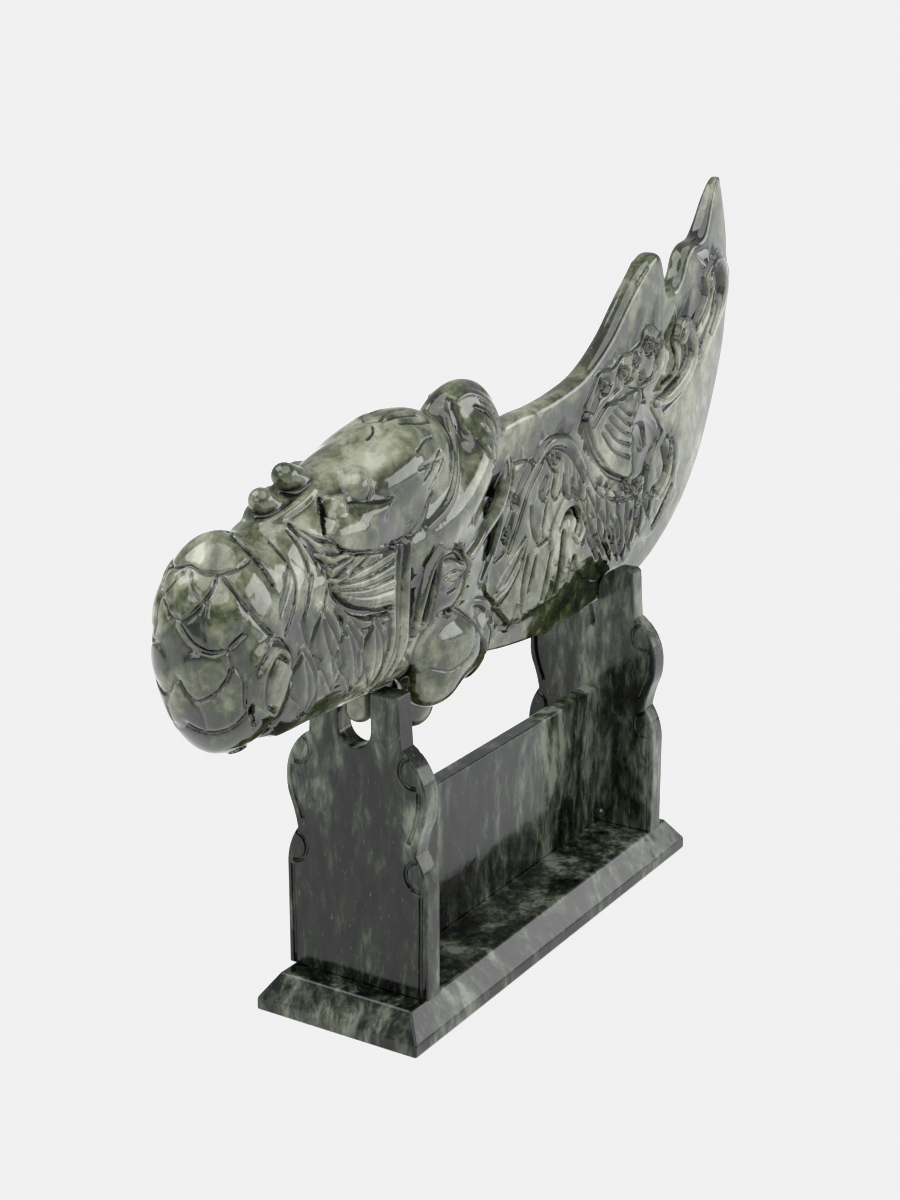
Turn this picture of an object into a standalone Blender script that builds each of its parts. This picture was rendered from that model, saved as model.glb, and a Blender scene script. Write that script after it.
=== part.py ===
"""A carved jade sabre with a dragon's-head hilt, lying on its two-slab jade stand.

Metres, +Z up. The origin is on the floor under the centre of the stand. X runs along the sabre, from
the hilt at -X to the blade's tip at +X. Every piece is symmetric about the plane y = 0, except for the
stretcher, which sits a little off it, and the pin hole beside that.
"""
import math

import bmesh
import bpy
from mathutils import Matrix, Vector

MM = 0.001
GAP = 0.3 * MM                      # clearance between pieces that touch

# Stand: the base slab
BASE_LENGTH = 203.6 * MM
BASE_WIDTH = 66 * MM
BASE_HEIGHT = 13.2 * MM
BASE_EDGE_HEIGHT = 4.4 * MM         # upright rim below the wide chamfer
BASE_CHAMFER = 6.2 * MM             # the chamfer's run in plan

# Stand: the two uprights
SLAB = 8.5 * MM
EDGE_ROUND = 0.35 * MM
HILT_UPRIGHT_X = -83.7 * MM
BLADE_UPRIGHT_X = 83.7 * MM
SIDE = 28.6 * MM                    # half width of the straight sides
LOWER_SHOULDER = 50 * MM            # where the straight side starts to curl in
CUSP = (24.1 * MM, 65.5 * MM)       # notch between the lower and the upper lobe
UPPER_LOBE = (28.3 * MM, 84 * MM)
NECK = (18.6 * MM, 102 * MM)
PRONG_TOP = (17.4 * MM, 119.6 * MM)
SADDLE_HALF = 6.5 * MM              # round-bottomed slot for the lug under the grip
SADDLE_BOTTOM = 99.8 * MM
SLOT_HALF = 2.4 * MM                # narrow slot that holds the blade's belly
SLOT_FLOOR_HALF = 0.9 * MM
SLOT_BOTTOM = 97 * MM
SLOT_LIP = 113.4 * MM
TENON_DEPTH = 7 * MM
TENON_HALF = 19 * MM                # half width
TENON_THICKNESS = 5.5 * MM
PIN_HOLE = (-5.4 * MM, 14.9 * MM)   # small drilled hole beside the stretcher
PIN_HOLE_RADII = (2.0 * MM, 2.1 * MM)

# Stand: the stretcher panel between the uprights
STRETCHER_Y = -0.5 * MM
STRETCHER_THICKNESS = 7 * MM
STRETCHER_TOP = 71.3 * MM
TONGUE_DEPTH = 3 * MM
TONGUE_BOTTOM = 26 * MM
TONGUE_TOP = 58 * MM

# Sabre
LUG_HALF = (3.6 * MM, 4.9 * MM)     # half length and half width of the lug under the grip
LUG_BOTTOM = 107.4 * MM
BLADE_HALF = 4.6 * MM               # half thickness along the spine
EDGE_HALF = 1.5 * MM                # half thickness at the cutting edge
BEVEL_SHARE = 0.72                  # how far from spine to edge the full thickness reaches

JADE_DARK = (0.028, 0.036, 0.028, 1.0)
JADE_LIGHT = (0.115, 0.125, 0.070, 1.0)


def clear_scene():
    for old in list(bpy.data.objects):
        bpy.data.objects.remove(old, do_unlink=True)


def make_collection(name):
    collection = bpy.data.collections.new(name)
    bpy.context.scene.collection.children.link(collection)
    return collection


def jade(name, colour, roughness):
    material = bpy.data.materials.new(name)
    material.use_nodes = True
    shader = material.node_tree.nodes["Principled BSDF"]
    shader.inputs["Base Color"].default_value = colour
    shader.inputs["Roughness"].default_value = roughness
    shader.inputs["Metallic"].default_value = 0.0
    material.diffuse_color = colour
    return material


def object_from_bmesh(name, shape, collection, smooth=False):
    mesh = bpy.data.meshes.new(name)
    bmesh.ops.recalc_face_normals(shape, faces=shape.faces)
    shape.to_mesh(mesh)
    shape.free()
    mesh.polygons.foreach_set("use_smooth", [smooth] * len(mesh.polygons))
    result = bpy.data.objects.new(name, mesh)
    collection.objects.link(result)
    return result


def arc(start, end, bulge, steps=8):
    """Points after start up to end on a circular arc; bulge is rise over half the chord, + to the left."""
    if bulge == 0:
        return [end]
    a = Vector(start)
    b = Vector(end)
    chord = b - a
    angle = 4 * math.atan(bulge)
    radius = chord.length / (2 * math.sin(angle / 2))
    left = Vector((-chord.y, chord.x)).normalized()
    centre = (a + b) / 2 - left * radius * math.cos(angle / 2)
    points = []
    for step in range(1, steps + 1):
        turn = Matrix.Rotation(-angle * step / steps, 2)
        points.append(tuple(centre + turn @ (a - centre)))
    points[-1] = tuple(end)
    return points


def outline(start, moves):
    """A path from start through (point, bulge) moves."""
    points = [start]
    for end, bulge in moves:
        points += arc(points[-1], end, bulge)
    return points


def mirrored(half):
    """Closes a half outline, which ends at x = 0, with its mirror image."""
    other = [(-x, y) for x, y in reversed(half) if abs(x) > 1e-6]
    return half + other


def plate(name, points, thickness, rotation, location, collection):
    """A flat slab with slightly rounded edges: a filled and extruded 2D curve, made a welded mesh."""
    curve = bpy.data.curves.new(name + "_outline", "CURVE")
    curve.dimensions = "2D"
    curve.fill_mode = "BOTH"
    curve.extrude = thickness / 2 - EDGE_ROUND
    curve.bevel_depth = EDGE_ROUND
    curve.bevel_resolution = 1
    curve.offset = -EDGE_ROUND
    spline = curve.splines.new("POLY")
    spline.points.add(len(points) - 1)
    for point, (x, y) in zip(spline.points, points):
        point.co = (x, y, 0, 1)
    spline.use_cyclic_u = True
    sheet = bpy.data.objects.new(name + "_outline", curve)
    collection.objects.link(sheet)
    sheet.rotation_euler = rotation
    sheet.location = location
    bpy.context.view_layer.update()
    graph = bpy.context.evaluated_depsgraph_get()
    mesh = bpy.data.meshes.new_from_object(sheet.evaluated_get(graph))
    shape = bmesh.new()
    shape.from_mesh(mesh)
    bmesh.ops.remove_doubles(shape, verts=shape.verts, dist=0.01 * MM)
    result = object_from_bmesh(name, shape, collection)
    result.matrix_world = sheet.matrix_world.copy()
    bpy.data.objects.remove(sheet)
    bpy.data.meshes.remove(mesh)
    return result


def box(name, low, high, collection):
    """A box between two corners, given in world coordinates."""
    low = Vector(low)
    high = Vector(high)
    shape = bmesh.new()
    bmesh.ops.create_cube(shape, size=1)
    for vert in shape.verts:
        vert.co = Vector(vert.co[i] * (high[i] - low[i]) for i in range(3)) + (low + high) / 2
    return object_from_bmesh(name, shape, collection)


def boulder(name, centre, radii, tilt, collection, segments=20, rings=12):
    """An ellipsoid; tilt turns it about Y, in degrees, nose down for a positive tilt."""
    shape = bmesh.new()
    bmesh.ops.create_uvsphere(shape, u_segments=segments, v_segments=rings, radius=1)
    turn = Matrix.Rotation(math.radians(tilt), 3, "Y")
    for vert in shape.verts:
        scaled = Vector(vert.co[i] * radii[i] for i in range(3))
        vert.co = turn @ scaled + Vector(centre)
    return object_from_bmesh(name, shape, collection, smooth=True)


def loft(name, rings, collection, smooth=True):
    """A closed solid through a list of rings, each a list of the same number of points."""
    shape = bmesh.new()
    loops = [[shape.verts.new(point) for point in ring] for ring in rings]
    count = len(rings[0])
    for lower, upper in zip(loops, loops[1:]):
        for i in range(count):
            j = (i + 1) % count
            shape.faces.new((lower[i], lower[j], upper[j], upper[i]))
    shape.faces.new(list(reversed(loops[0])))
    shape.faces.new(loops[-1])
    return object_from_bmesh(name, shape, collection, smooth)


def boolean(target, tool, operation):
    modifier = target.modifiers.new(operation.lower(), "BOOLEAN")
    modifier.operation = operation
    modifier.solver = "EXACT"
    modifier.object = tool
    tool.display_type = "WIRE"
    tool.hide_render = True


def bake(target):
    """Turns the modifiers of a solid into its mesh."""
    bpy.context.view_layer.update()
    graph = bpy.context.evaluated_depsgraph_get()
    mesh = bpy.data.meshes.new_from_object(target.evaluated_get(graph))
    target.modifiers.clear()
    target.data = mesh


def make_base(parts, cutters):
    shape = bmesh.new()
    bmesh.ops.create_cube(shape, size=1)
    for vert in shape.verts:
        vert.co = Vector((vert.co.x * BASE_LENGTH, vert.co.y * BASE_WIDTH, (vert.co.z + 0.5) * BASE_HEIGHT))
    everything = list(shape.verts) + list(shape.edges) + list(shape.faces)
    bmesh.ops.bisect_plane(shape, geom=everything, plane_co=(0, 0, BASE_EDGE_HEIGHT), plane_no=(0, 0, 1))
    for vert in shape.verts:
        if vert.co.z > BASE_EDGE_HEIGHT + GAP:
            vert.co.x -= math.copysign(BASE_CHAMFER, vert.co.x)
            vert.co.y -= math.copysign(BASE_CHAMFER, vert.co.y)
    base = object_from_bmesh("base_plate", shape, parts)
    for name, centre in (("hilt_mortise", HILT_UPRIGHT_X), ("blade_mortise", BLADE_UPRIGHT_X)):
        half = TENON_THICKNESS / 2 + GAP
        low = (centre - half, -TENON_HALF - GAP, BASE_HEIGHT - TENON_DEPTH - GAP)
        high = (centre + half, TENON_HALF + GAP, BASE_HEIGHT + 2 * MM)
        boolean(base, box(name, low, high, cutters), "DIFFERENCE")
    return base


def upright_side():
    """The outline's right half from the foot up to the top of the prong."""
    start = (SIDE, BASE_HEIGHT + GAP)
    moves = [
        ((SIDE, LOWER_SHOULDER), 0),
        (CUSP, -0.17),
        ((27.4 * MM, 77 * MM), 0.06),
        (UPPER_LOBE, -0.08),
        (NECK, -0.27),
        (PRONG_TOP, 0),
    ]
    return start, moves


def hilt_upright_outline():
    start, moves = upright_side()
    lip = PRONG_TOP[1] + 0.8 * MM
    moves += [
        ((PRONG_TOP[0] - 1.2 * MM, lip), -0.4),
        ((SADDLE_HALF + 1.5 * MM, lip), 0),
        ((SADDLE_HALF, lip - 1.5 * MM), -0.4),
        ((SADDLE_HALF, SADDLE_BOTTOM + SADDLE_HALF), 0),
        ((0, SADDLE_BOTTOM), math.tan(math.pi / 8)),
    ]
    return mirrored(outline(start, moves))


def blade_upright_outline():
    start, moves = upright_side()
    crest = PRONG_TOP[1] + 1.6 * MM
    moves += [
        ((PRONG_TOP[0] - 2 * MM, crest), -0.35),
        ((10 * MM, crest), 0),
        ((SLOT_HALF, SLOT_LIP), -0.25),
        ((SLOT_FLOOR_HALF, SLOT_BOTTOM), 0),
        ((0, SLOT_BOTTOM - SLOT_FLOOR_HALF), math.tan(math.pi / 8)),
    ]
    return mirrored(outline(start, moves))


def make_upright(name, points, x, inward, parts, cutters):
    """One carved end slab; inward is +1 where the stretcher lies on its +X side, else -1."""
    upright = plate(name, points, SLAB, (math.pi / 2, 0, math.pi / 2), (x, 0, 0), parts)
    low = (x - TENON_THICKNESS / 2, -TENON_HALF, BASE_HEIGHT - TENON_DEPTH)
    high = (x + TENON_THICKNESS / 2, TENON_HALF, BASE_HEIGHT + 5 * MM)
    boolean(upright, box(name + "_tenon", low, high, cutters), "UNION")
    face = x + inward * SLAB / 2
    floor = face - inward * (TONGUE_DEPTH + GAP)
    mouth = face + inward * 2 * MM
    half = STRETCHER_THICKNESS / 2 + GAP
    low = (min(floor, mouth), STRETCHER_Y - half, TONGUE_BOTTOM - GAP)
    high = (max(floor, mouth), STRETCHER_Y + half, TONGUE_TOP + GAP)
    boolean(upright, box(name + "_mortise", low, high, cutters), "DIFFERENCE")
    return upright


def drill_pin_hole(upright, cutters):
    shape = bmesh.new()
    turn = Matrix.Rotation(math.pi / 2, 4, "Y")
    bmesh.ops.create_cone(shape, cap_ends=True, segments=20, radius1=1, radius2=1, depth=3 * SLAB, matrix=turn)
    for vert in shape.verts:
        vert.co.y = vert.co.y * PIN_HOLE_RADII[0] + PIN_HOLE[0]
        vert.co.z = vert.co.z * PIN_HOLE_RADII[1] + PIN_HOLE[1] + PIN_HOLE_RADII[1]
        vert.co.x += BLADE_UPRIGHT_X
    boolean(upright, object_from_bmesh("pin_drill", shape, cutters), "DIFFERENCE")


def make_stretcher(parts):
    left = HILT_UPRIGHT_X + SLAB / 2 + GAP
    right = BLADE_UPRIGHT_X - SLAB / 2 - GAP
    foot = BASE_HEIGHT + GAP
    points = [
        (left, foot), (right, foot),
        (right, TONGUE_BOTTOM), (right + TONGUE_DEPTH, TONGUE_BOTTOM),
        (right + TONGUE_DEPTH, TONGUE_TOP), (right, TONGUE_TOP),
        (right, STRETCHER_TOP), (left, STRETCHER_TOP),
        (left, TONGUE_TOP), (left - TONGUE_DEPTH, TONGUE_TOP),
        (left - TONGUE_DEPTH, TONGUE_BOTTOM), (left, TONGUE_BOTTOM),
    ]
    panel = plate("stretcher_panel", points, STRETCHER_THICKNESS, (math.pi / 2, 0, 0), (0, STRETCHER_Y, 0), parts)
    return panel


def oval_ring(x, bottom, top, half_width, squareness=2.4, count=20):
    """A rounded section across the hilt, a superellipse between two heights."""
    middle = (bottom + top) / 2
    half_height = (top - bottom) / 2
    power = 2 / squareness
    ring = []
    for i in range(count):
        angle = 2 * math.pi * (i + 0.5) / count
        c = math.cos(angle)
        s = math.sin(angle)
        y = half_width * math.copysign(abs(c) ** power, c)
        z = middle + half_height * math.copysign(abs(s) ** power, s)
        ring.append((x * MM, y * MM, z * MM))
    return ring


def make_hilt_core(parts):
    """Pommel, grip and the mass of the dragon's head: station, bottom, top and half width in mm."""
    stations = [
        (-178.5, 147, 165, 6), (-176.5, 135, 177, 11.5), (-171, 126, 186, 16), (-163, 120, 190.5, 18.5),
        (-154, 118, 191.5, 19.5), (-145, 118.5, 190, 19), (-136, 119.5, 187, 18), (-124, 120, 185, 17.5),
        (-110, 119.5, 188, 18), (-98, 118.7, 194, 18.5), (-85, 118.7, 200, 19.5), (-70, 118.7, 203, 20),
        (-55, 114, 202, 20), (-40, 107, 199, 18.5), (-26, 104, 196, 16), (-12, 105, 192, 12),
        (0, 108, 188, 7), (9, 110, 184, 4.5),
    ]
    return loft("sabre", [oval_ring(*station) for station in stations], parts)


def blade_section(spine, edge):
    """A six-sided section from the spine to the cutting edge: flat faces, then a long bevel."""
    spine = Vector((spine[0] * MM, 0, spine[1] * MM))
    edge = Vector((edge[0] * MM, 0, edge[1] * MM))
    bevel = spine.lerp(edge, BEVEL_SHARE)
    ring = []
    for place, half in ((spine, BLADE_HALF), (bevel, BLADE_HALF), (edge, EDGE_HALF)):
        ring.append(place + Vector((0, half, 0)))
    for place, half in ((edge, EDGE_HALF), (bevel, BLADE_HALF), (spine, BLADE_HALF)):
        ring.append(place - Vector((0, half, 0)))
    return ring


def make_blade(scratch):
    """Stations from the head to the tip, each a place on the spine and one on the cutting edge, in mm."""
    stations = [
        ((-16, 190), (-20, 112)), ((13, 194), (4, 108)), ((27, 194.5), (28, 105)), ((45, 196), (46, 104.5)),
        ((68, 202), (68, 106)), ((84, 212), (84, 107.5)), ((97, 224), (99, 109.5)), ((108, 233.5), (118, 111.5)),
        ((115, 238.8), (136, 119)), ((123, 238), (148, 127.5)), ((128.5, 231), (158, 135)),
        ((131.5, 222.6), (168, 144)), ((139, 223), (177, 157)), ((144, 228), (184, 169)),
        ((148, 236.5), (189, 179)), ((155, 240), (192.5, 192)), ((164, 241.5), (195, 206)),
        ((169, 247), (197, 217)), ((174, 256), (193, 228)), ((178, 262), (187, 248)), ((181, 264), (183.5, 261)),
    ]
    rings = [blade_section(spine, edge) for spine, edge in stations]
    return loft("blade", rings, scratch, smooth=False)


def make_sabre(parts, scratch):
    sabre = make_hilt_core(parts)
    lumps = [
        # centre, radii, tilt: each is repeated on the far side when it stands off the middle plane
        ("forehead", (-64, 0, 191), (27, 15, 18), -4),
        ("snout", (-110, 0, 188), (22, 11, 10), -10),
        ("nostril_rear", (-121.5, 0, 196), (6, 7, 5), 0),
        ("nostril_front", (-133, 0, 191.5), (6, 7, 5.5), 0),
        ("brow", (-96, 12, 190), (10, 6, 8), -10),
        ("crest_scroll", (-25, 0, 188), (26, 9, 23), 0),
        ("jaw", (-45, 12, 118), (20, 9, 13), -18),
        ("chin", (-27, 7, 112), (14, 8, 12), -20),
        ("beard", (-50, 0, 102), (10, 6, 8), -25),
    ]
    for name, centre, radii, tilt in lumps:
        sides = (1, -1) if centre[1] else (1,)
        for side in sides:
            place = Vector((centre[0], side * centre[1], centre[2])) * MM
            lump = boulder(f"{name}_{side}", place, Vector(radii) * MM, tilt, scratch)
            boolean(sabre, lump, "UNION")
    low = (HILT_UPRIGHT_X - LUG_HALF[0], -LUG_HALF[1], LUG_BOTTOM)
    high = (HILT_UPRIGHT_X + LUG_HALF[0], LUG_HALF[1], LUG_BOTTOM + 20 * MM)
    boolean(sabre, box("lug", low, high, scratch), "UNION")
    boolean(sabre, make_blade(scratch), "UNION")
    bake(sabre)
    return sabre


def make_object():
    clear_scene()
    parts = make_collection("jade_sabre_on_stand")
    cutters = make_collection("cutters")
    dark = jade("jade_stand", JADE_DARK, 0.16)
    light = jade("jade_sabre", JADE_LIGHT, 0.2)
    base = make_base(parts, cutters)
    hilt_upright = make_upright("hilt_upright", hilt_upright_outline(), HILT_UPRIGHT_X, 1, parts, cutters)
    blade_upright = make_upright("blade_upright", blade_upright_outline(), BLADE_UPRIGHT_X, -1, parts, cutters)
    drill_pin_hole(blade_upright, cutters)
    stretcher = make_stretcher(parts)
    sabre = make_sabre(parts, cutters)
    for piece in (base, hilt_upright, blade_upright, stretcher):
        piece.data.materials.append(dark)
    sabre.data.materials.append(light)


make_object()
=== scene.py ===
"""Looks of the carved jade sabre and its stand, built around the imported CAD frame.

The sabre is sculpted as a distance field on a grid over its y <= 0 half, in millimetres, then mirrored
and meshed. The stand's slabs are filled curves with engraved lines cut into them.
"""
import math

import bmesh
import bpy
import numpy as np
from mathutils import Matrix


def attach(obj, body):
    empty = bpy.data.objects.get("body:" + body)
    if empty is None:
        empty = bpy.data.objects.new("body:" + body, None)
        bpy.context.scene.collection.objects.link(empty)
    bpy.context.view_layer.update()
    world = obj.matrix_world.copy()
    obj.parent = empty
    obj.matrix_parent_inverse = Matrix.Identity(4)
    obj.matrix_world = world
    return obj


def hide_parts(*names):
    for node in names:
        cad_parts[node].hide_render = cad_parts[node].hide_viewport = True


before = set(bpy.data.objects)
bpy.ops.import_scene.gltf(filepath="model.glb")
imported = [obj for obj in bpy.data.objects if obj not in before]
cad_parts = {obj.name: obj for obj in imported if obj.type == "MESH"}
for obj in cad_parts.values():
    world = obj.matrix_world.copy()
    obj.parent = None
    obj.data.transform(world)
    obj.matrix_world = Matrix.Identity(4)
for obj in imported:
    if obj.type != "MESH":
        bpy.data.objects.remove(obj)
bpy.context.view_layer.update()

import openvdb
from mathutils import Euler, Matrix, Vector

MM = 0.001
UPRIGHT_X = 83.7                    # the uprights' middle planes stand at plus and minus this

# ---------------------------------------------------------------------------------------------------
# Paths and distances
# ---------------------------------------------------------------------------------------------------


def smooth_path(points, per_span=6, closed=False):
    """A Catmull-Rom curve through points of any dimension, as an array."""
    knots = np.array(points, float)
    if closed:
        knots = np.vstack([knots[-1:], knots, knots[:2]])
    elif len(knots) < 3:
        return knots
    else:
        knots = np.vstack([2 * knots[:1] - knots[1:2], knots, 2 * knots[-1:] - knots[-2:-1]])
    out = []
    for before, start, end, after in zip(knots, knots[1:], knots[2:], knots[3:]):
        for step in range(per_span):
            t = step / per_span
            out.append(0.5 * (2 * start + (end - before) * t
                              + (2 * before - 5 * start + 4 * end - after) * t ** 2
                              + (3 * start - before - 3 * end + after) * t ** 3))
    out.append(out[0] if closed else knots[-2])
    return np.array(out)


def span_distance(places, path, radii):
    """Distance from a path and the path's own radius there, over a grid of any dimension."""
    best = None
    for start, end, r_start, r_end in zip(path, path[1:], radii, radii[1:]):
        along = end - start
        length2 = float(along @ along) + 1e-9
        t = sum((p - s) * a for p, s, a in zip(places, start, along)) / length2
        t = np.clip(t, 0, 1)
        gap = np.sqrt(sum((p - s - t * a) ** 2 for p, s, a in zip(places, start, along)))
        radius = r_start + t * (r_end - r_start)
        if best is None:
            best, best_radius = gap, radius
        else:
            nearer = gap - radius < best - best_radius
            best_radius = np.where(nearer, radius, best_radius)
            best = np.where(nearer, gap, best)
    return best, best_radius


def spread(value, count):
    """One number or a few, spread evenly over that many places."""
    value = np.atleast_1d(np.array(value, float))
    return np.interp(np.linspace(0, 1, count), np.linspace(0, 1, len(value)), value)


def smooth_step(value):
    value = np.clip(value, 0, 1)
    return value * value * (3 - 2 * value)


def smooth_min(a, b, k):
    h = np.clip(0.5 + 0.5 * (b - a) / k, 0, 1)
    return b + (a - b) * h - k * h * (1 - h)


def smooth_max(a, b, k):
    return -smooth_min(-a, -b, k)


def span(axis, low, high):
    """The stretch of a rising axis from low up to high."""
    return slice(int(np.searchsorted(axis, low)), int(np.searchsorted(axis, high)))


# ---------------------------------------------------------------------------------------------------
# Clay: a solid on a distance grid
# ---------------------------------------------------------------------------------------------------


class Clay:
    """The y <= 0 half of a solid, as a distance field in mm that is negative inside."""

    FAR = 4.0

    def __init__(self, low, high, step):
        self.step = step
        self.axes = [np.arange(a, b + step / 2, step, dtype=np.float32) for a, b in zip(low, high)]
        self.field = np.full([len(axis) for axis in self.axes], self.FAR, np.float32)

    def window(self, low, high):
        """The grid's spans inside a box, and the places in them."""
        spans = tuple(span(axis, a, b) for axis, a, b in zip(self.axes, low, high))
        parts = [axis[part] for axis, part in zip(self.axes, spans)]
        return spans, np.meshgrid(*parts, indexing="ij", sparse=True)

    def add(self, spans, distance, blend):
        self.field[spans] = smooth_min(self.field[spans], distance, blend)

    def cut(self, spans, distance, blend):
        self.field[spans] = smooth_max(self.field[spans], -distance, blend)

    def ball(self, centre, radii, blend=2.0, turn=(0, 0, 0), cut=False):
        """An ellipsoid, turned by degrees about X, Y and Z, added or cut away."""
        reach = max(radii) + blend + 2
        spans, places = self.window([c - reach for c in centre], [c + reach for c in centre])
        matrix = Euler([math.radians(a) for a in turn]).to_matrix().transposed()
        offsets = [p - c for p, c in zip(places, centre)]
        local = [sum(matrix[i][j] * offsets[j] for j in range(3)) for i in range(3)]
        near = np.sqrt(sum((l / r) ** 2 for l, r in zip(local, radii)))
        steep = np.sqrt(sum((l / r ** 2) ** 2 for l, r in zip(local, radii))) + 1e-6
        distance = near * (near - 1) / steep
        (self.cut if cut else self.add)(spans, distance, blend)

    def tube(self, points, radii, blend=1.0, flat=1.0, cut=False):
        """A round strand through points; flat below 1 squeezes it across Y."""
        path = smooth_path(points)
        radii = spread(radii, len(path))
        reach = radii.max() + blend + 2
        spans, places = self.window(path.min(0) - reach, path.max(0) + reach)
        places = [places[0], places[1] / flat, places[2]]
        squeezed = path * np.array([1, 1 / flat, 1])
        gap, radius = span_distance(places, squeezed, radii)
        (self.cut if cut else self.add)(spans, (gap - radius) * min(flat, 1), blend)

    def press(self, relief, start, end, gate_from, gate_over):
        """Moves the outer side of the span from start to end out by a relief over the XZ plane."""
        part = span(self.axes[0], start, end)
        gate = smooth_step((-self.axes[1] - gate_from) / gate_over)
        self.field[part] -= relief.height()[part][:, None, :] * gate[None, :, None]

    def whole(self):
        return np.concatenate([self.field, self.field[:, -2::-1, :]], axis=1)

    def mesh(self, name, faces):
        """The mirrored solid as a mesh object of about that many triangles, in metres."""
        field = self.whole()
        grid = openvdb.FloatGrid(self.FAR)
        grid.copyFromArray(np.ascontiguousarray(field))
        points, quads = grid.convertToQuads(isovalue=0.0)
        low = np.array([axis[0] for axis in self.axes])
        points = (points * self.step + low) * MM
        mesh = bpy.data.meshes.new(name)
        mesh.vertices.add(len(points))
        mesh.vertices.foreach_set("co", points.astype(np.float32).ravel())
        mesh.loops.add(len(quads) * 4)
        mesh.loops.foreach_set("vertex_index", quads.astype(np.int32).ravel())
        mesh.polygons.add(len(quads))
        mesh.polygons.foreach_set("loop_start", np.arange(0, len(quads) * 4, 4, dtype=np.int32))
        mesh.update(calc_edges=True)
        mesh.validate()
        solid = add_object(name, mesh)
        thin = solid.modifiers.new("thin", "DECIMATE")
        thin.ratio = min(1.0, faces / (2 * len(quads)))
        settle(solid)
        solid.data.polygons.foreach_set("use_smooth", [True] * len(solid.data.polygons))
        places = np.empty(len(solid.data.vertices) * 3, np.float32)
        solid.data.vertices.foreach_get("co", places)
        index = (places.reshape(-1, 3) / MM - low) / self.step
        # Hollow depths, which the material turns into painted shade.
        self.store_hollow_shade(solid, field, index)
        slopes = [read_grid(field, index + shift) - read_grid(field, index - shift) for shift in np.eye(3)]
        normals = np.stack(slopes, axis=1)
        normals /= np.maximum(np.linalg.norm(normals, axis=1, keepdims=True), 1e-6)
        solid.data.normals_split_custom_set_from_vertices(normals.tolist())
        return solid

    def store_hollow_shade(self, solid, field, index):
        """A point attribute, from 0 to 1: how deep each place lies in a narrow or a wide hollow, which the
        jade material paints as shade.
        """
        full = np.clip(0.5 - field / self.step, 0, 1)
        depth = 0
        for width, gain in HOLLOW_SHADE_BOXES:
            reach = int(width / 2 / self.step)
            filled = full
            for axis in range(3):
                sums = np.cumsum(filled, axis=axis, dtype=np.float64)
                sums = (np.roll(sums, -reach, axis) - np.roll(sums, reach + 1, axis)) / (2 * reach + 1)
                filled = sums.astype(np.float32)
            values = read_grid(filled, index)
            depth = np.maximum(depth, np.clip((values - 0.5) * gain, 0, 1))
        attribute = solid.data.attributes.new("hollow_shade", "FLOAT", "POINT")
        attribute.data.foreach_set("value", depth.astype(np.float32))


def read_grid(values, index):
    """Values of a grid at fractional indices, the last axis of index, blended between neighbours."""
    corner = np.clip(np.floor(index).astype(int), 0, np.array(values.shape) - 2)
    share = np.clip(index - corner, 0, 1)
    total = 0
    for step in np.ndindex(*[2] * values.ndim):
        weight = np.prod(np.where(np.array(step) == 1, share, 1 - share), axis=-1)
        total = total + weight * values[tuple(np.moveaxis(corner + step, -1, 0))]
    return total


def add_object(name, data):
    made = bpy.data.objects.new(name, data)
    bpy.context.scene.collection.objects.link(made)
    return made


def evaluated_mesh(target):
    """A new mesh of what an object shows."""
    bpy.context.view_layer.update()
    graph = bpy.context.evaluated_depsgraph_get()
    return bpy.data.meshes.new_from_object(target.evaluated_get(graph), depsgraph=graph)


def settle(target):
    """Turns an object's modifiers into its mesh."""
    mesh = evaluated_mesh(target)
    target.modifiers.clear()
    target.data = mesh


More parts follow.
